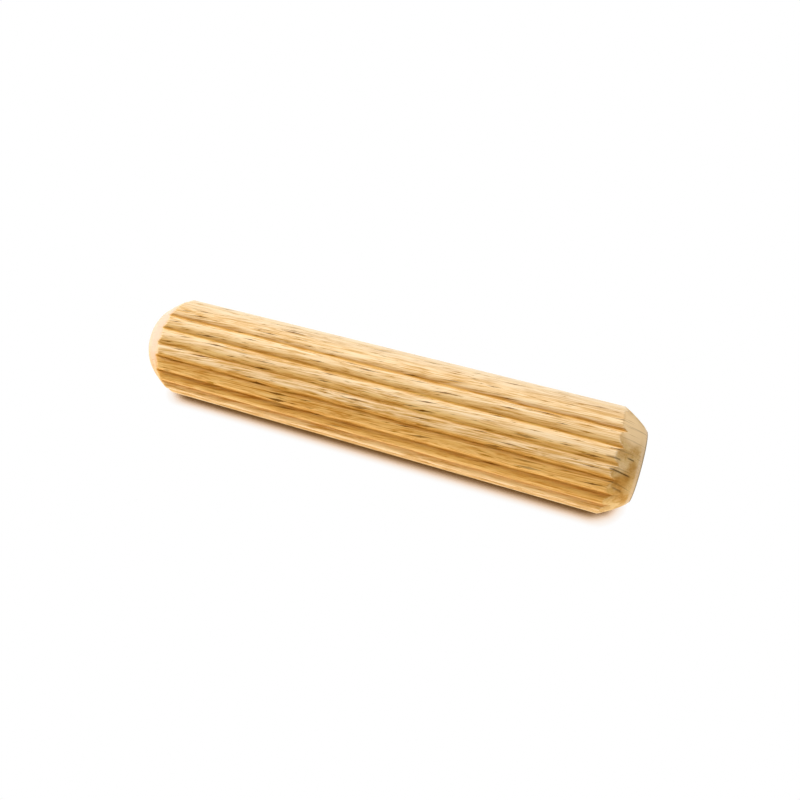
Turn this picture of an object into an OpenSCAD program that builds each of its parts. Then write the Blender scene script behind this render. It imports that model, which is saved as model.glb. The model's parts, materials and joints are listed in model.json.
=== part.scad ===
// Fluted wooden dowel pin with a chamfer at each end.
// The pin lies along X with its middle at the origin, and Z points up.
// A groove faces straight down, so the pin rests on the crests of the two flutes beside it.

/* [Pin] */
// Diameter across the crests of the flutes
crest_d = 8.2; // [7:0.1:12]
// Length from one end face to the other
pin_len = 40; // [20:1:80]

/* [End chamfers] */
// Length of each chamfer along the pin
chamfer_len = 2; // [1:0.1:4]
// Diameter of the flat end faces
end_d = 5.5; // [4:0.1:6.5]

/* [Flutes] */
// Number of flutes around the pin
flutes = 20; // [16:4:24]
// Depth of each groove below the crests
groove_depth = 0.25; // [0.1:0.01:0.3]
// Share of a flute's pitch that stays on the crest circle
crest_share = 0.53; // [0.5:0.01:0.6]
// Share of a flute's pitch taken by the floor of the groove
floor_share = 0.1; // [0.05:0.01:0.2]

/* [Hidden] */
// Fine facets for the preview, still whole numbers of degrees
$fn = 180;

crest_r = crest_d / 2;
root_r = crest_r - groove_depth;
pitch = 360 / flutes;

// Angles from the middle of a flute to the edge of its crest and to the foot of its flank
crest_angle = crest_share * pitch / 2;
foot_angle = (1 - floor_share) * pitch / 2;

// The round flank of a flute is an arc through the edge of the crest and the foot.
// Its centre is on the middle line of the flute, flank_at from the axis of the pin.
flank_at = (crest_r ^ 2 - root_r ^ 2)
    / (2 * (crest_r * cos(crest_angle) - root_r * cos(foot_angle)));
flank_r = norm([crest_r * cos(crest_angle) - flank_at, crest_r * sin(crest_angle)]);

// The chamfer cone runs on past the crests, so that it cuts them cleanly
overrun = 1;
chamfer_slope = chamfer_len / (crest_r - end_d / 2);
cone_r = crest_r + overrun;
cone_at = pin_len / 2 - chamfer_slope * (cone_r - end_d / 2);

// Cross-section: round-sided flutes on a core, cut off by the crest circle
module fluted_section() {
    intersection() {
        circle(r = crest_r);
        union() {
            circle(r = root_r);
            for (i = [0 : flutes - 1])
                rotate((i + 0.5) * pitch) translate([flank_at, 0]) circle(r = flank_r);
        }
    }
}

// Turned outline that leaves a chamfer and a flat face at each end
module chamfered_blank() {
    rotate_extrude()
        polygon([
            [0, -pin_len / 2],
            [end_d / 2, -pin_len / 2],
            [cone_r, -cone_at],
            [cone_r, cone_at],
            [end_d / 2, pin_len / 2],
            [0, pin_len / 2]
        ]);
}

module dowel_pin() {
    color("burlywood")
        rotate([0, 90, 0])
            intersection() {
                linear_extrude(pin_len, center = true) fluted_section();
                chamfered_blank();
            }
}

dowel_pin();
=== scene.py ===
# %% [markdown]
# # A fluted beech dowel pin
# A dowel pin is one short rod of hardwood. It is planed round, pressed with straight flutes that
# let glue and air out of the hole, sawn to length, and chamfered so that it starts easily. This
# lesson loads the working model of the pin, builds a finer skin over it with numpy, finishes that
# skin as bare beech, and lights it on a white table that glows.

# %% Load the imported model
import bpy
import numpy as np
from mathutils import Matrix, Vector
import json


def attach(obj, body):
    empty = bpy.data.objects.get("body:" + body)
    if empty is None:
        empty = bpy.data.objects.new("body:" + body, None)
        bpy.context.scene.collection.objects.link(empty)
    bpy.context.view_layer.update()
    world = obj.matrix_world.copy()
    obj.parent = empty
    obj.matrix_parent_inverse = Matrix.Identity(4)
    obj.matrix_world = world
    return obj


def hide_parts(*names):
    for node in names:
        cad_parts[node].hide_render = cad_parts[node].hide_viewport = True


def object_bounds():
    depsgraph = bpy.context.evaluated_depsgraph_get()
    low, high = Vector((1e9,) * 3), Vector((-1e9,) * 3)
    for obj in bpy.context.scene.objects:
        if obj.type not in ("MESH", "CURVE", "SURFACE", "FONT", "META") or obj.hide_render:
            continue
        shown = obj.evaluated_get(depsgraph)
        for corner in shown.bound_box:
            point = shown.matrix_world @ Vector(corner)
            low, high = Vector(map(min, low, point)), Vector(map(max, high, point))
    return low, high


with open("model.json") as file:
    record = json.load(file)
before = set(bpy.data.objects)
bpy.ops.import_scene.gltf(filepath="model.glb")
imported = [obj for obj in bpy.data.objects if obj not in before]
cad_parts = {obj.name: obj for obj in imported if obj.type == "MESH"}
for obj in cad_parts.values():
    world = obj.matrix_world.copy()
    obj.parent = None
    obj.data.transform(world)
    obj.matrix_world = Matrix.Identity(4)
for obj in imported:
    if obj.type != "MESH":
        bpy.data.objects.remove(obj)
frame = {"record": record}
cad_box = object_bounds()
print("CAD box in mm:", [round(1000 * v, 3) for corner in cad_box for v in corner])

# %% [markdown]
# ## Driving sizes
# The shank mount of the working model gives the crest radius and the length between the two
# shoulders, and its box gives the length of the pin. The rest are the proportions of this kind of
# pin. Everything below is in metres, and MM keeps the numbers readable.

# %% Sizes of the pin
MM = 0.001
shank = next(m for m in frame["record"]["mounts"] if m["name"] == "shank")
crest_r = shank["dims"]["r_mm"] * MM
half_len = cad_box[1].x
shoulder = shank["dims"]["length_mm"] * MM / 2
chamfer_len = half_len - shoulder
end_r = 2.75 * MM
flutes = 20
groove_depth = 0.30 * MM
print(f"crest radius {crest_r / MM:.2f} mm, length {2 * half_len / MM:.1f} mm, {flutes} flutes")

# %% [markdown]
# ## Small irregularities
# Pressed flutes are never quite equal. Each one wanders a little in depth, height, place and
# width, because the wood gives way unevenly. Noise could do this, but a sum of cosines along the
# pin, with seeded random sizes and phases, is smooth by nature and gives each flute its own curve.

# %% Smooth random curves
rng = np.random.default_rng(20)


def smooth_curves(waves, size, fall):
    """One random curve of x for each flute: the sum of `waves` cosines, the k-th with k half
    periods along the pin, a random phase, and an amplitude that falls off as k to -fall."""
    k = np.arange(1, waves + 1)
    amplitude = rng.normal(0, size, (flutes, waves)) / k ** fall
    phase = rng.uniform(0, 2 * np.pi, (flutes, waves))

    def curve(flute, x):
        turns = np.pi * k * ((x + half_len) / (2 * half_len))[..., None] + phase[flute]
        return (amplitude[flute] * np.cos(turns)).sum(-1)
    return curve


depth_curve = smooth_curves(30, 0.05, 0.6)
height_curve = smooth_curves(8, 0.010 * MM, 1)
wander_curve = smooth_curves(24, np.radians(0.18), 0.7)
width_curve = smooth_curves(30, 0.03, 0.5)
sample = depth_curve(np.zeros(50, int), np.linspace(-half_len, half_len, 50))
print(f"along the first groove the depth spreads by {100 * sample.std():.0f}%")

# %% [markdown]
# ## How hard each groove was pressed
# The press tool doesn't meet the rod evenly. On the top of this pin one groove is hardly there,
# and low on the front the grooves are deeper. The grooves at the front are also spaced a little
# unevenly. Angles go round the pin from the back at 0, over the top at 90, to the front at 180.

# %% Press and spacing
flute_angle = np.arange(flutes) * 360 / flutes
press = (1 - 0.9 * np.exp(-((flute_angle - 88) / 13) ** 2)
         + 0.3 * np.exp(-((flute_angle - 200) / 18) ** 2))
uneven = np.zeros(flutes)
uneven[6:12] = np.radians([-1.5, -0.8, 0.3, -1.3, 0.2, -0.5])
print(f"grooves are pressed to between {press.min():.2f} and {press.max():.2f} of their depth")

# %% [markdown]
# ## The section of the fluted rod
# Each ridge is a low crown, a little rounder than the rod itself, and it rolls down on both sides
# into a groove with a narrow floor. It could be drawn as a curve and extruded, but then every
# ridge would be the same all along. So the section is a function of the angle and of x. Between
# one groove and the next, u runs from -1 over 0 on the crest to 1.

# %% The section
columns_per_flute = 24
columns = columns_per_flute * flutes
below_box = 0.02 * MM
crown_drop = 0.15 * MM
crown_share = 0.22
floor_share = 0.93


def smooth_step(low, high, value):
    """0 below low, 1 above high, and the cubic 3 w^2 - 2 w^3 of the share w between them."""
    w = np.clip((value - low) / (high - low), 0, 1)
    return w * w * (3 - 2 * w)


def flute_parts(column):
    """For a column of the grid: the grooves on its two sides, its place between them from 0 to
    1, and u, which is twice that place less 1."""
    flute, place = np.divmod(column, columns_per_flute)
    place = place / columns_per_flute
    return flute, (flute + 1) % flutes, place, 2 * place - 1


def between(values, column):
    """A value that each groove has, blended between the grooves on the two sides of a column."""
    flute, after, place, _ = flute_parts(column)
    return (1 - place) * values[flute] + place * values[after]


def blend(curve, column, x):
    """The same for a curve that each groove has along x."""
    flute, after, place, _ = flute_parts(column)
    return (1 - place) * curve(flute, x) + place * curve(after, x)


def groove_share(column, x):
    """0 on the crown and 1 on the floor of the groove. Between them it is the square of the share
    of the way down, so that a ridge rolls over gently and its foot is steep."""
    u = np.abs(flute_parts(column)[3])
    wide = blend(width_curve, column, x)
    ramp = np.clip((u - crown_share - wide) / (floor_share - crown_share - wide), 0, 1)
    return ramp ** 2


def fluted_radius(column, x):
    """Radius of the fluted rod before its ends are cut: the crest radius, less the parabola of
    the crown, less the rest of the groove depth times the groove share."""
    flute, _, _, u = flute_parts(column)
    low = np.minimum(height_curve(flute, x), 0) * (1 - np.abs(u))
    depth = groove_depth * (between(press, column) + blend(depth_curve, column, x))
    crown = crown_drop * np.minimum(between(press, column), 1)
    return crest_r - below_box + low - crown * u ** 2 - (depth - crown) * groove_share(column, x)


def turned_angle(column, x):
    """Angle round the axis of a column at x: its even share of a turn, the uneven spacing of
    the grooves on its two sides, and a slow wander."""
    even = column * 2 * np.pi / columns
    return even + between(uneven, column) + blend(wander_curve, column, x)


print(f"{columns} columns round the pin, {columns_per_flute} to a flute")

# %% [markdown]
# ## The shoulder
# The skin of a turned rod is a function of two parameters, the angle round the axis and the
# distance along it, so a lathe-like grid is the natural mesh for it. A cutter shaped like a cone
# takes off the end, and the ridges reach it sooner than the grooves do, which makes the scalloped
# edge of a real pin. A Boolean would cut that edge with ragged faces. Here one row of the grid
# follows it instead, so it is crisp.

# %% Columns, and the shoulder on each of them
column = np.arange(columns)[:, None]
cone_slope = (crest_r - end_r) / chamfer_len


def shoulder_at(sign):
    """Where the chamfer cone meets the flutes on each column: x is worked out from the radius
    at the last x, a few times over, until the two agree."""
    x = np.full((columns, 1), sign * shoulder)
    for _ in range(4):
        x = sign * (half_len - (fluted_radius(column, x) - end_r) / cone_slope)
    return x


edge_left, edge_right = shoulder_at(-1), shoulder_at(1)
print(f"right shoulder from {edge_right.min() / MM:.2f} to {edge_right.max() / MM:.2f} mm")

# %% [markdown]
# ## The sawn and chamfered ends
# A real end isn't a sharp cone on a flat disc. The cutter leaves the chamfer a little full, the
# corner at the face is broken by a narrow, steeper bevel, and its edge is rubbed round. So the
# profile is made of those parts in turn: cone, bevel, a small arc, and the flat face. The rings
# of the face are closer together near the rim, so that the thin line there can be narrow.

# %% The profile of one end
chamfer_rows = 18
rim_rows = 5
end_rings = 9
rim_r = 0.06 * MM
bevel_x = 0.24 * MM
bevel_slope = 1.15
bulge = 0.07 * MM
bevel_shares = np.array([0.03, 0.3, 0.6, 0.85])


def end_profile(edge):
    """Radius and distance from the middle along one end, on each column: a slightly full run
    down the cone, the narrow bevel, a small arc round the rim, and rings of shrinking radius
    over the flat end face. The fullness is the parabola 4 s (1 - s) of the share s of the run."""
    edge = np.abs(edge)
    bevel_start = half_len - bevel_x
    share = np.linspace(0, 1, chamfer_rows + 1)[1:] ** 1.3
    cone_x = edge + share * (bevel_start - edge)
    cone_r = end_r + (half_len - cone_x) * cone_slope + bulge * 4 * share * (1 - share)
    start_r = end_r + bevel_x * cone_slope
    steep = np.arctan(bevel_slope)
    bevel_xs = bevel_start + bevel_shares * bevel_x
    bevel_rs = start_r - bevel_shares * bevel_x * bevel_slope
    bend = steep + np.linspace(0, 1, rim_rows + 1)[1:] * (np.pi / 2 - steep)
    arc_x = half_len - rim_r * (1 - np.sin(bend))
    arc_r = (start_r - (bevel_x - rim_r * (1 - np.sin(steep))) * bevel_slope
             + rim_r * (np.cos(bend) - np.cos(steep)))
    face_r = arc_r[-1] * (1 - np.linspace(0, 1, end_rings + 2)[1:-1] ** 1.6)
    tail_r = np.concatenate([bevel_rs, arc_r, face_r])
    tail_x = np.concatenate([bevel_xs, arc_x, np.full(end_rings, half_len)])
    tail_r = np.broadcast_to(tail_r, (columns, len(tail_r)))
    tail_x = np.broadcast_to(tail_x, (columns, len(tail_x)))
    return np.hstack([cone_x, tail_x]), np.hstack([cone_r, tail_r])


left_x, left_r = end_profile(edge_left)
right_x, right_r = end_profile(edge_right)
print(f"{left_x.shape[1]} rows from each shoulder to the middle of the end face")

# %% [markdown]
# ## Rows along the shank
# The rows crowd towards the shoulders, where the finish changes fastest. Planed and pressed wood
# is never quite smooth either: the harder fibres stand a few thousandths of a millimetre proud
# in long streaks. They are real relief in the mesh, made by blurring noise further along the
# grain than across it. The streaks are capped, so that the pin stays inside its box.

# %% The whole grid
shank_rows = 112
streak_height = 0.0025 * MM
crowd = np.linspace(-1, 1, shank_rows)
crowd = np.sign(crowd) * (1 - (1 - np.abs(crowd)) ** 1.25)
shank_x = edge_left + (edge_right - edge_left) * (crowd[None, :] + 1) / 2
shank_r = fluted_radius(column, shank_x)
x = np.hstack([-left_x[:, ::-1], shank_x, right_x])
radius = np.hstack([left_r[:, ::-1], shank_r, right_r])


def streaks(long, wide):
    """White noise over the grid, smoothed in the Fourier domain by a Gaussian that is `long` rows
    by `wide` columns, and scaled to a spread of 1."""
    noise = np.fft.fft2(rng.normal(size=x.shape))
    across = np.fft.fftfreq(x.shape[0])[:, None] * wide
    lengthwise = np.fft.fftfreq(x.shape[1])[None, :] * long
    smooth = np.fft.ifft2(noise * np.exp(-2 * np.pi ** 2 * (across ** 2 + lengthwise ** 2))).real
    return smooth / smooth.std()


on_shank = smooth_step(0, 0.3 * MM, np.minimum(edge_right - x, x - edge_left))
radius = radius + streak_height * np.minimum(streaks(4, 0.8) + streaks(12, 3), 1.5) * on_shank
theta = turned_angle(column, x)
print(f"{columns} columns by {x.shape[1]} rows")

# %% [markdown]
# ## Open rays
# Where a chamfer cuts across the thin brown sheets of the rays, some of them split open. Each
# split is a short dark slit that lies in the plane of its sheet. Cutting them out would need a
# much finer mesh. Four shallow dents do it, and the finish darkens them with the same numbers.
# They are given by their place across the rays, their two ends along the pin, and a strength.

# %% Open rays on the right chamfer
ray_turn = np.radians(-35.5)
slit_width_mm = 0.05
slit_depth = 0.05 * MM
slits_mm = [(-0.56, 18.9, 19.4, 0.9), (-1.63, 17.9, 19.35, 0.9),
            (-2.65, 18.4, 19.15, 0.6), (-0.87, 17.55, 18.5, 0.7)]
across_rays = radius * np.cos(theta + ray_turn)
outward = np.sin(theta + ray_turn)
slit = np.zeros_like(x)
for at, start, stop, strength in slits_mm:
    width = np.exp(-((across_rays / MM - at) / slit_width_mm) ** 2)
    run = (smooth_step(start - 0.1, start + 0.1, x / MM)
           * (1 - smooth_step(stop - 0.1, stop, x / MM)))
    slit = np.maximum(slit, np.minimum(strength * width, 1) * run * (outward > 0))
radius = radius - slit_depth * slit
print(f"{len(slits_mm)} open rays, up to {slit_depth * slit.max() / MM:.3f} mm deep")

# %% [markdown]
# ## Burnish, painted shade and painted highlight on the chamfers
# The chamfer cutter rubs as it cuts, and where it rubs hard it burnishes the wood to a darker
# golden brown. The darkening patches are partly that burnish and partly painted shade over the
# middle of the right chamfer, which turns away from the main light. The pale patches are painted
# highlight over the top of the right chamfer and painted glare across the left chamfer, with two
# small pale marks. Each patch is a soft oval with an angle, a place along the pin, a width in
# degrees, a length in millimetres and an amount, which is negative where the wood is pale. Noise
# would put such patches anywhere. A list puts them where this pin has them.

# %% Patches on the chamfers
patches = [(123, 19.40, 7, 0.22, 0.6), (142, 19.35, 7, 0.30, 0.8), (162, 18.90, 11, 0.60, 0.9),
           (145, 18.55, 5, 0.45, -0.5), (109, 18.90, 9, 0.60, -0.3), (129, 18.40, 9, 0.30, 0.5),
           (191, 19.40, 8, 0.25, 0.4), (181, 19.00, 9, 0.50, 0.6), (96, 18.90, 24, 1.30, -1.0),
           (110, -19.0, 75, 1.20, -0.9)]
patch_shade_light = np.zeros_like(x)
# dark patches: burnish and painted shade; pale patches: painted highlight and painted glare
for angle, at, wide, long, amount in patches:
    near = ((np.degrees(theta) - angle) / wide) ** 2 + ((x / MM - at) / long) ** 2
    patch_shade_light = patch_shade_light + amount * np.exp(-near ** 2)
print(f"{len(patches)} patches, from {patch_shade_light.min():.2f} to {patch_shade_light.max():.2f}")

# %% [markdown]
# ## The mesh
# Each column of the grid joins the next, and the last joins the first, so there is no seam. A fan
# of triangles closes each end at its middle. Both fans and all the quads go round the same way,
# so every face looks outwards.

# %% Vertices and faces
points = np.stack([x, radius * np.cos(theta), radius * np.sin(theta)], -1)
rows = points.shape[1]
middles = [[-half_len, 0, 0], [half_len, 0, 0]]
vertices = np.vstack([points.reshape(-1, 3), middles])
index = np.arange(columns * rows).reshape(columns, rows)
after = np.roll(index, -1, 0)
quads = np.stack([index[:, :-1], after[:, :-1], after[:, 1:], index[:, 1:]], -1).reshape(-1, 4)
left_fan = np.stack([after[:, 0], index[:, 0], np.full(columns, columns * rows)], -1)
right_fan = np.stack([index[:, -1], after[:, -1], np.full(columns, columns * rows + 1)], -1)
mesh = bpy.data.meshes.new("fluted_pin")
mesh.from_pydata(vertices, [], quads.tolist() + left_fan.tolist() + right_fan.tolist())
mesh.shade_smooth()
pin = bpy.data.objects.new("fluted_pin", mesh)
bpy.context.scene.collection.objects.link(pin)
print(f"{len(mesh.vertices)} vertices, {2 * len(quads) + 2 * columns} triangles")

# %% [markdown]
# ## What the finish needs to know about the shape
# The finish changes with the shape: grooves and the ridge sides that turn from the light get a
# darker, more golden painted shade, cut ends are paler, and a thin dark line runs round the end
# face. A material could guess this from bumps in the surface, but the shape is known here
# exactly, so it is kept as one number for each vertex, and the material reads it by name.
#
# The golden tone is painted shade. It fills the floor of each groove and runs up the side of each
# ridge that turns away from the light: the side that faces down in the upper half of the pin, and
# the side that faces up in the lower half.
# Towards the lines where the surface runs along the rays, their marks would stretch into wide,
# hard-edged flakes, so `end_on` fades them out there.

# %% Numbers for each vertex
def store(name, values, middle=0):
    """Keep one number for each vertex as an attribute of the mesh; both middles get `middle`."""
    attribute = mesh.attributes.new(name, "FLOAT", "POINT")
    full = np.concatenate([np.broadcast_to(values, radius.shape).ravel(), [middle, middle]])
    attribute.data.foreach_set("value", full.astype(np.float32))
    print(f"{name}: mean {full.mean():.3f}")


from_end = half_len - np.abs(x)
height_mm = radius * np.sin(theta) / MM
# painted shade: the side of each ridge that turns from the light, down above and up below
turned_down = -flute_parts(column)[3] * np.cos(theta)
above = smooth_step(0.7, 1.4, height_mm)
shaded_flank = smooth_step(-0.1, 0.5, turned_down * (2 * above - 1))
tinted = np.maximum(groove_share(column, x) ** 2, 0.8 * shaded_flank) * (0.7 + 0.3 * above)
# the groove numbers are painted shade in the groove floors and on the shaded ridge flanks
store("groove", tinted * np.minimum(between(press, column), 1) * (on_shank > 0))
store("cut", smooth_step(0, 0.08 * MM, np.maximum(x - edge_right, edge_left - x)), 1)
# painted highlight: the narrow bevel at the rim, which the finish paints paler
store("rim", 1 - smooth_step(0.30 * MM, 0.36 * MM, from_end), 1)
store("rim_edge", (1 - smooth_step(0.04 * MM, 0.10 * MM, from_end))
      * smooth_step(end_r - 0.20 * MM, end_r - 0.15 * MM, radius))
store("end_on", smooth_step(0.3, 0.7, np.abs(outward)))
store("slit", slit)
# patch numbers: burnish with painted shade, and painted highlight, on the chamfers
store("patch_shade_light", patch_shade_light * smooth_step(end_r - 0.5 * MM, end_r - 0.2 * MM, radius))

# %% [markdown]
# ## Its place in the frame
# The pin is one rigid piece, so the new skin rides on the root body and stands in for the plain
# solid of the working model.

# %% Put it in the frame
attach(pin, "root")
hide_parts("dowel_pin")
print("fluted_pin stands in for dowel_pin")


# %% [markdown]
# ## Beech
# Beech is pale, pinkish tan and close-grained. Sanded or planed and left bare, it gives the eye
# a soft matte surface with fine fibres along it. Its mark is the rays: thin brown sheets that run
# out from the middle of the tree. Where a ray comes out of the surface end on, it is a short dark
# dash along the grain. An image of wood wrapped round the pin would show a seam and smear on the
# ends. So the pattern is made in three dimensions, in axes of the tree, and one pattern gives
# dashes on the shank and straight lines on the sawn ends, each where it belongs.

# %% Helpers for the material
def linear(hex_colour):
    """sRGB hex, such as 'C8A070', to a linear RGBA colour."""
    s = np.array([int(hex_colour[i:i + 2], 16) for i in (0, 2, 4)]) / 255
    return (*np.where(s <= 0.04045, s / 12.92, ((s + 0.055) / 1.055) ** 2.4), 1.0)


wood = bpy.data.materials.new("beech_sanded")
wood.use_nodes = True
tree = wood.node_tree
shader = tree.nodes["Principled BSDF"]


def add(kind, inputs=None, **settings):
    """Add a node. Settings are its own properties, and inputs gives each socket, by name or
    number, a value or another node's output to link to. The outputs of the node come back."""
    node = tree.nodes.new("ShaderNode" + kind)
    for name, value in settings.items():
        setattr(node, name, value)
    for name, value in (inputs or {}).items():
        if isinstance(value, bpy.types.NodeSocket):
            tree.links.new(value, node.inputs[name])
        else:
            node.inputs[name].default_value = value
    return node.outputs


print("a tan of beech in linear colour:", [round(float(v), 3) for v in linear("F5D09C")])

# %% [markdown]
# ## Axes of the tree
# The rod was sawn from a plank, so the middle of the tree lies to one side of it, and the grain
# runs a few degrees off the axis. A Mapping node turns object coordinates into axes of the tree
# in millimetres: along the grain, across the rays, and along the rays. A slow drift then bends
# them a little, because a tree doesn't grow dead straight.

# %% Coordinates in the tree, in millimetres
grain_slope = np.radians(-3.0)
sway_mm = 0.9
place = add("TexCoord")["Object"]
tree_mm = add("Mapping", {"Vector": place, "Scale": (1000, 1000, 1000),
                          "Rotation": (ray_turn, 0, grain_slope)})[0]
stretched = add("Mapping", {"Vector": tree_mm, "Scale": (0.06, 0.3, 0.12)})[0]
drift = add("TexNoise", {"Vector": stretched, "Scale": 1, "Detail": 1})["Color"]
sway = add("VectorMath", {0: drift, 1: (0.5, 0.5, 0.5)}, operation="SUBTRACT")[0]
sway = add("VectorMath", {0: sway, 1: (0, sway_mm, sway_mm)}, operation="MULTIPLY")[0]
grain_mm = add("VectorMath", {0: tree_mm, 1: sway}, operation="ADD")[0]
print(f"the grain is {abs(np.degrees(grain_slope)):.0f} degrees off the axis")


# %% [markdown]
# ## Rays
# Beech has two kinds of rays. The large ones show as dashes 1 to 3 mm long, far apart, and the
# small ones as finer dashes between them. A ray is a sheet, so it is the same all along its own
# direction, and the Voronoi pattern needs only two dimensions: along the grain and across the
# rays. The Minkowski distance with an exponent below 1 draws each cell's spot as a spindle with
# sharp tips. Real small rays are thinner than 0.05 mm, which is too fine to show, so they are
# drawn about twice as wide.

# %% Two layers of rays
def ray_layer(cell_mm, biggest, smallest, sharpness, rarity):
    """Spindle-shaped spots, one in each random cell of a Voronoi pattern whose cell has the given
    size along the grain and across the rays. Each spot has a random size between the two given
    shares of a cell and a random strength, and the layer is size times strength."""
    scale = (1 / cell_mm[0], 1 / cell_mm[1], 1)
    cells = add("TexVoronoi", {"Vector": add("Mapping", {"Vector": grain_mm, "Scale": scale})[0],
                               "Scale": 1, "Exponent": 0.8},
                distance="MINKOWSKI", voronoi_dimensions="2D")
    chance = add("SeparateColor", {0: cells["Color"]})
    reach = add("MapRange", {"Value": chance[0], "To Min": smallest, "To Max": biggest})[0]
    near = add("Math", {0: reach, 1: cells["Distance"]}, operation="SUBTRACT")[0]
    spot = add("MapRange", {"Value": near, "From Max": sharpness},
               interpolation_type="SMOOTHSTEP")[0]
    strength = add("Math", {0: chance[1], 1: rarity}, operation="POWER")[0]
    return add("Math", {0: spot, 1: strength}, operation="MULTIPLY")[0]


large_rays = ray_layer((6.5, 0.36), 0.23, 0.08, 0.04, 0.35)
small_rays = ray_layer((3.2, 0.20), 0.27, 0.08, 0.06, 0.6)
print(f"two layers of rays, {len(tree.nodes)} nodes so far")

# %% [markdown]
# ## Fibres and growth rings
# Between the rays the wood is fine hair-like fibres with slow changes of tone, and growth rings
# about 2.6 mm apart with a slightly darker edge of late wood. Each layer is noise drawn out along
# the grain. Real beech fibres are about 0.02 mm thick. That is too fine to show, so the finest
# layer is drawn at 0.07 mm.

# %% Fibres and rings
ring_mm = 2.6


def fibre_noise(size_mm, detail):
    """Noise drawn out along the grain: size_mm is its size along, across and deep."""
    scale = tuple(1 / size for size in size_mm)
    return add("TexNoise", {"Vector": add("Mapping", {"Vector": grain_mm, "Scale": scale})[0],
                            "Scale": 1, "Detail": detail, "Roughness": 0.6})["Fac"]


hair = fibre_noise((3.0, 0.07, 0.07), 2)
fine = fibre_noise((2.6, 0.16, 0.16), 3)
broad = fibre_noise((16, 1.2, 1.2), 2)
depth_in_tree = add("SeparateXYZ", {0: grain_mm})[2]
ring_at = add("Math", {0: depth_in_tree, 1: 1 / ring_mm}, operation="MULTIPLY")[0]
ring_at = add("Math", {0: ring_at, 1: broad}, operation="ADD")[0]
ring = add("Math", {0: ring_at}, operation="FRACT")[0]
late_wood = add("Math", {0: ring, 1: 3}, operation="POWER")[0]
print(f"rings {ring_mm} mm apart, {len(tree.nodes)} nodes so far")

# %% [markdown]
# ## The tone of the long grain
# All those layers add up to one tone from dark to light, and a colour ramp turns it into the
# tans of bare beech. One ramp for the sum looks more like wood than a colour for each layer,
# because real fibres differ in depth of the same brown and not in hue.

# %% Tone and ramp
tone = add("Math", {0: hair, 1: 1.3, 2: -0.65}, operation="MULTIPLY_ADD")[0]
tone = add("Math", {0: fine, 1: 1.3, 2: tone}, operation="MULTIPLY_ADD")[0]
tone = add("Math", {0: broad, 1: 0.6, 2: tone}, operation="MULTIPLY_ADD")[0]
tone = add("Math", {0: tone, 1: -0.45}, operation="ADD")[0]
tone = add("Math", {0: late_wood, 1: -0.10, 2: tone}, operation="MULTIPLY_ADD")[0]


def fill_ramp(ramp, stops):
    """Give a new colour ramp its stops, each a position and an sRGB hex colour, in rising
    order. It already has two, which become the first and the last."""
    for element, (at, tint) in zip(ramp.elements, (stops[0], stops[-1])):
        element.position = at
        element.color = linear(tint)
    for at, tint in stops[1:-1]:
        ramp.elements.new(at).color = linear(tint)


wood_ramp = tree.nodes.new("ShaderNodeValToRGB")
tree.links.new(tone, wood_ramp.inputs[0])
fill_ramp(wood_ramp.color_ramp, ((0.2, "D2A056"), (0.5, "F5D09C"), (0.8, "FFE4BA")))
long_grain = wood_ramp.outputs[0]
print(f"{len(wood_ramp.color_ramp.elements)} tans from dark to light")

# %% [markdown]
# ## Painted shade and painted sheen on the long grain
# A band along the side of the pin, which faces neither the lamps above nor the glowing table
# below, gets a warmer, golden painted shade, and it fades out by height above and below. From
# the front of the pin to its back the wood turns a little paler, as a painted sheen. The grooves
# and the ridge flanks that turn from the light get the most golden painted shade. Multiplying
# keeps the fibres visible under the tint.

# %% Painted shade band, painted sheen on the back and painted shade in the grooves
# painted shade in the grooves and on the shaded ridge flanks, from the mesh
groove = add("Attribute", attribute_name="groove")["Fac"]
sides = add("SeparateXYZ", {0: place})
# painted shade: a golden band round the side of the pin, set by height
upper = add("MapRange", {"Value": sides[2], "From Min": 1.9 * MM, "From Max": 1.0 * MM},
            interpolation_type="SMOOTHSTEP")[0]
lower = add("MapRange", {"Value": sides[2], "From Min": -1.8 * MM, "From Max": -0.6 * MM},
            interpolation_type="SMOOTHSTEP")[0]
side_shade = add("Math", {0: upper, 1: lower}, operation="MULTIPLY")[0]
# painted sheen: the wood paler towards the back of the pin
back_sheen = add("MapRange", {"Value": sides[1], "From Min": -0.8 * MM, "From Max": 1.6 * MM},
           interpolation_type="SMOOTHSTEP")[0]
back_sheen = add("Math", {0: back_sheen, 1: 0.6}, operation="MULTIPLY")[0]
for amount, tint, way in ((back_sheen, "E8DAC2", "MIX"), (side_shade, "F0DCAA", "MULTIPLY"),
                          (groove, "E8D28C", "MULTIPLY")):
    long_grain = add("Mix", {"Factor": amount, 6: long_grain, 7: linear(tint)},
                     data_type="RGBA", blend_type=way)[2]
print("long grain tinted in 3 steps")

# %% [markdown]
# ## The sawn ends
# Cut across, the fibres show their open ends. They scatter light differently from the long grain,
# and look like a mottled tan with little figure. The mottling is noise about 0.7 mm across. The
# narrow bevel at the rim is painted paler, as a painted highlight where it catches the light, and
# some of the long grain shows through everywhere, because the chamfer cuts at a slant.

# %% Colour of the cut ends
mottle_mm = 2 / 3
cut = add("Attribute", attribute_name="cut")["Fac"]
rim = add("Attribute", attribute_name="rim")["Fac"]
mottle = add("TexNoise", {"Vector": place, "Scale": 1000 / mottle_mm, "Detail": 3})["Fac"]
mottle = add("MapRange", {"Value": mottle, "From Min": 0.42, "From Max": 0.56})[0]
sawn = add("Mix", {"Factor": mottle, 6: linear("CF9F52"), 7: linear("E8C280")},
           data_type="RGBA")[2]
# painted highlight on the narrow bevel at the rim
sawn = add("Mix", {"Factor": rim, 6: sawn, 7: linear("EBCBA0")}, data_type="RGBA")[2]
sawn = add("Mix", {"Factor": 0.3, 6: sawn, 7: long_grain}, data_type="RGBA")[2]
colour = add("Mix", {"Factor": cut, 6: long_grain, 7: sawn}, data_type="RGBA")[2]
print("the cut ends join the long grain at the shoulder")
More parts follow.
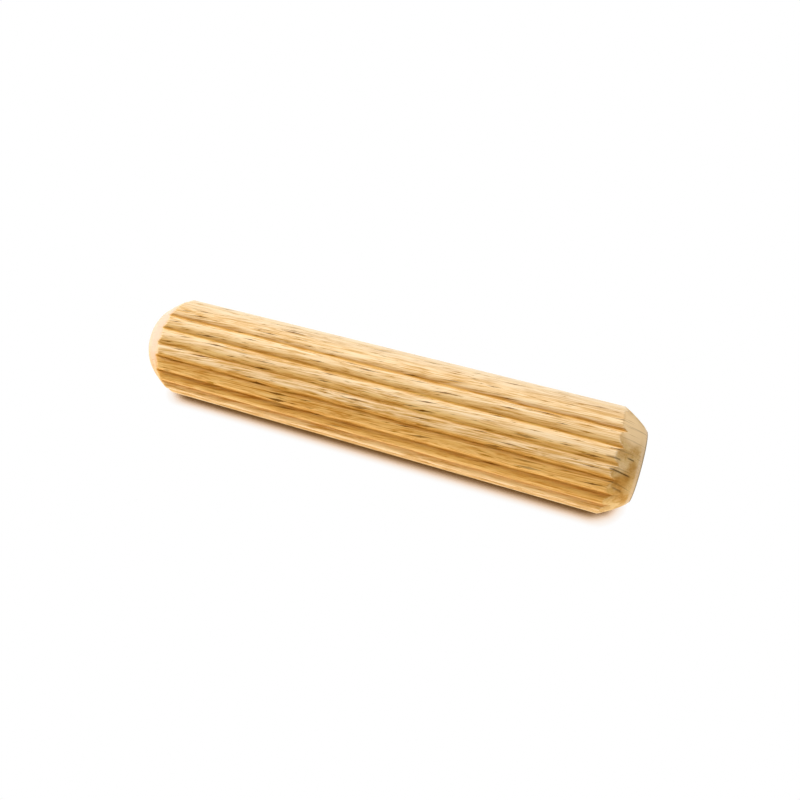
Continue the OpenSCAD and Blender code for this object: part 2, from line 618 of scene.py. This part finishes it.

# %% [markdown]
# ## Burnish, painted shade and painted highlight on the chamfers
# The positive part of the patch numbers darkens the wood with a golden brown, partly burnish and
# partly painted shade, and its negative part mixes in a pale tan as painted highlight. The pale
# tan is warm on the right end and pinkish on the left, where it is painted glare, so its tint
# changes over at the middle of the pin.

# %% Patches
shade_light_patches = add("Attribute", attribute_name="patch_shade_light")["Fac"]
rubbed_and_shaded = add("Math", {0: shade_light_patches, 1: 1}, operation="MULTIPLY", use_clamp=True)[0]
painted_highlight = add("Math", {0: shade_light_patches, 1: -1}, operation="MULTIPLY", use_clamp=True)[0]
painted_highlight = add("Math", {0: painted_highlight, 1: cut}, operation="MULTIPLY")[0]
left_side = add("MapRange", {"Value": sides[0], "From Min": 1 * MM, "From Max": -1 * MM})[0]
highlight_tan = add("Mix", {"Factor": left_side, 6: linear("FFDCA8"), 7: linear("EDC7B0")},
                data_type="RGBA")[2]
# darken by burnish and painted shade, then pale by painted highlight
colour = add("Mix", {"Factor": rubbed_and_shaded, 6: colour, 7: linear("DCC084")}, data_type="RGBA",
             blend_type="MULTIPLY")[2]
colour = add("Mix", {"Factor": painted_highlight, 6: colour, 7: highlight_tan}, data_type="RGBA")[2]
print(f"patches added, {len(tree.nodes)} nodes so far")

# %% [markdown]
# ## Rays, rim line and open slits on top
# The rays lie in the wood itself, so they come last, over every tone below. On the cut ends they
# show at less than half their strength, and `end_on` fades them where the surface runs along
# them. The line round the end face and the open slits come over them.

# %% Marks
shown = add("Math", {0: cut, 1: -0.6, 2: 1.0}, operation="MULTIPLY_ADD")[0]
end_on = add("Attribute", attribute_name="end_on")["Fac"]
shown = add("Math", {0: shown, 1: end_on}, operation="MULTIPLY")[0]
small_marks = add("Math", {0: small_rays, 1: shown}, operation="MULTIPLY")[0]
large_marks = add("Math", {0: large_rays, 1: shown}, operation="MULTIPLY")[0]
rim_line = add("Attribute", attribute_name="rim_edge")["Fac"]
slit_mark = add("Attribute", attribute_name="slit")["Fac"]
for amount, tint in ((small_marks, "A87420"), (large_marks, "70460C"),
                     (rim_line, "A8906C"), (slit_mark, "4C2E08")):
    colour = add("Mix", {"Factor": amount, 6: colour, 7: linear(tint)}, data_type="RGBA")[2]
tree.links.new(colour, shader.inputs["Base Color"])
print("4 kinds of marks over the wood")

# %% [markdown]
# ## Relief and gloss
# Bare wood is matte. Its fibres stand a few thousandths of a millimetre high and the rays lie a
# little lower, which the bump gives in real heights. The IOR is that of cellulose, 1.53. The
# rough, open surface returns almost no mirror-like light, so the specular level is very low:
# at the usual level, a white room lays a grey veil over the dark dashes and slits.

# %% Bump and shader
height = add("Math", {0: fine, 1: 0.004}, operation="MULTIPLY")[0]
height = add("Math", {0: hair, 1: 0.002, 2: height}, operation="MULTIPLY_ADD")[0]
height = add("Math", {0: large_rays, 1: -0.002, 2: height}, operation="MULTIPLY_ADD")[0]
bump = add("Bump", {"Height": height, "Distance": MM, "Strength": 1.0})[0]
tree.links.new(bump, shader.inputs["Normal"])
shader.inputs["Roughness"].default_value = 0.7
shader.inputs["IOR"].default_value = 1.53
shader.inputs["Specular IOR Level"].default_value = 0.05
pin.data.materials.append(wood)
print(f"{len(tree.nodes)} nodes in the beech material")

# %% [markdown]
# ## The table
# The pin lies on a white, softly glowing table, so its underside is lit as well. To the camera
# the table is plain white with a warm brown shadow close to the pin. Ambient occlusion measures
# how much of the sky each spot of the table sees, and a ramp turns that into the tones of the
# shadow. To all other light the table is a white sheet with a glow, which dies away under the
# pin. A plain white sheet would need more light to look white, and that light would also fall
# on the pin.

# %% Shadow tones and glow
shadow_reach = 1.2 * MM
glow_reach = 2.0 * MM
glow_level = 0.67
floor_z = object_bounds()[0].z
bpy.ops.mesh.primitive_plane_add(size=2, location=(0, 0, floor_z))
table = bpy.context.active_object
table.name = "table"
white = bpy.data.materials.new("white_table")
white.use_nodes = True
tree = white.node_tree
tree.nodes.remove(tree.nodes["Principled BSDF"])
near_sky = add("AmbientOcclusion", {"Distance": shadow_reach})["AO"]
shadow = tree.nodes.new("ShaderNodeValToRGB")
tree.links.new(near_sky, shadow.inputs[0])
fill_ramp(shadow.color_ramp, (
    (0.30, "60401E"), (0.36, "916C45"), (0.42, "BC976F"), (0.50, "E3C4A8"), (0.58, "F5E0CE"),
    (0.70, "FBF1E8"), (0.86, "FDF9F5"), (0.97, "FFFFFF")))
open_sky = add("AmbientOcclusion", {"Distance": glow_reach})["AO"]
glow = add("Math", {0: open_sky, 1: glow_level}, operation="MULTIPLY")[0]
lit = add("Emission", {"Strength": glow})[0]
card = add("BsdfDiffuse", {"Color": (0.9, 0.9, 0.9, 1)})["BSDF"]
sheet = add("AddShader", {0: card, 1: lit})[0]
seen = add("Emission", {"Color": shadow.outputs[0]})[0]
tree.links.new(add("MixShader", {0: add("LightPath")["Is Camera Ray"], 1: sheet, 2: seen})[0],
               tree.nodes["Material Output"].inputs["Surface"])
table.data.materials.append(white)
print(f"table at z = {floor_z / MM:.3f} mm")


# %% [markdown]
# ## Light
# Two softboxes light the pin, as on a small product table. The one on the left is the main light,
# and a weaker one at the back right lifts the top. Each is set by the tone that it would give a
# white card that faces it, so the levels can be read as shares of white. The room itself is
# dim for the light that falls on the pin, but white to the camera and in reflections.

# %% Softboxes
def softbox(name, elevation, azimuth, size, level, distance=0.5):
    """A square lamp that faces the pin from an elevation and an azimuth in degrees, where 0 is
    the front and 90 the right. A white card that faces it would render at the given level."""
    rise, turn = np.radians(elevation), np.radians(azimuth)
    towards = Vector((np.cos(rise) * np.sin(turn), -np.cos(rise) * np.cos(turn), np.sin(rise)))
    data = bpy.data.lights.new(name, "AREA")
    data.size = size
    data.energy = level * np.pi ** 2 * distance ** 2
    lamp = bpy.data.objects.new(name, data)
    turned = (-towards).to_track_quat("-Z", "Y").to_matrix().to_4x4()
    lamp.matrix_world = Matrix.Translation(towards * distance) @ turned
    bpy.context.scene.collection.objects.link(lamp)
    print(f"{name}: {data.energy:.2f} W")


softbox("left_softbox", 45, -90, 0.24, 1.13)
softbox("back_right_softbox", 45, 135, 0.24, 0.33)

# %% The room
room_level = 0.19
world = bpy.data.worlds.new("room")
world.use_nodes = True
tree = world.node_tree
rays = add("LightPath")
seen = add("Math", {0: rays["Is Camera Ray"], 1: rays["Is Glossy Ray"]},
           operation="ADD", use_clamp=True)[0]
seen = add("Math", {0: seen, 1: rays["Is Transmission Ray"]}, operation="ADD", use_clamp=True)[0]
room = add("MapRange", {"Value": seen, "To Min": room_level, "To Max": 1.0})[0]
tree.links.new(room, tree.nodes["Background"].inputs["Strength"])
tree.nodes["Background"].inputs["Color"].default_value = (1, 1, 1, 1)
bpy.context.scene.world = world
print(f"the room lights the pin at {room_level} of white")

# %% [markdown]
# ## Camera
# The camera looks down at the pin from 39 degrees, a little from its right end, and rolled so
# that the pin runs down to the right. Its place and aim are written in the pin's own directions:
# along it, out towards the viewer, and down across the line of sight. The distance is in crest
# radii, so it follows the size of the pin.

# %% Camera and colour
camera_data = bpy.data.cameras.new("camera")
camera_data.sensor_width = 36
camera_data.lens = 31.09
camera_data.clip_start = MM
camera = bpy.data.objects.new("camera", camera_data)
tilt = np.radians(39)
out = Vector((0, -np.cos(tilt), np.sin(tilt)))
down = Vector((0, -np.sin(tilt), -np.cos(tilt)))
along = Vector((1, 0, 0))
forward = -0.2470 * along - 0.9690 * out - 0.0050 * down
up = -0.2485 * along + 0.0684 * out - 0.9662 * down
side = forward.cross(up).normalized()
up = side.cross(forward).normalized()
eye = crest_r * (3.658 * along + 12.953 * out)
camera.matrix_world = Matrix.Translation(eye) @ Matrix(
    (side, up, -forward.normalized())).transposed().to_4x4()
bpy.context.scene.collection.objects.link(camera)
bpy.context.scene.camera = camera
bpy.context.scene.view_settings.view_transform = "Standard"
print(f"camera {eye.length / MM:.0f} mm from the middle of the pin")
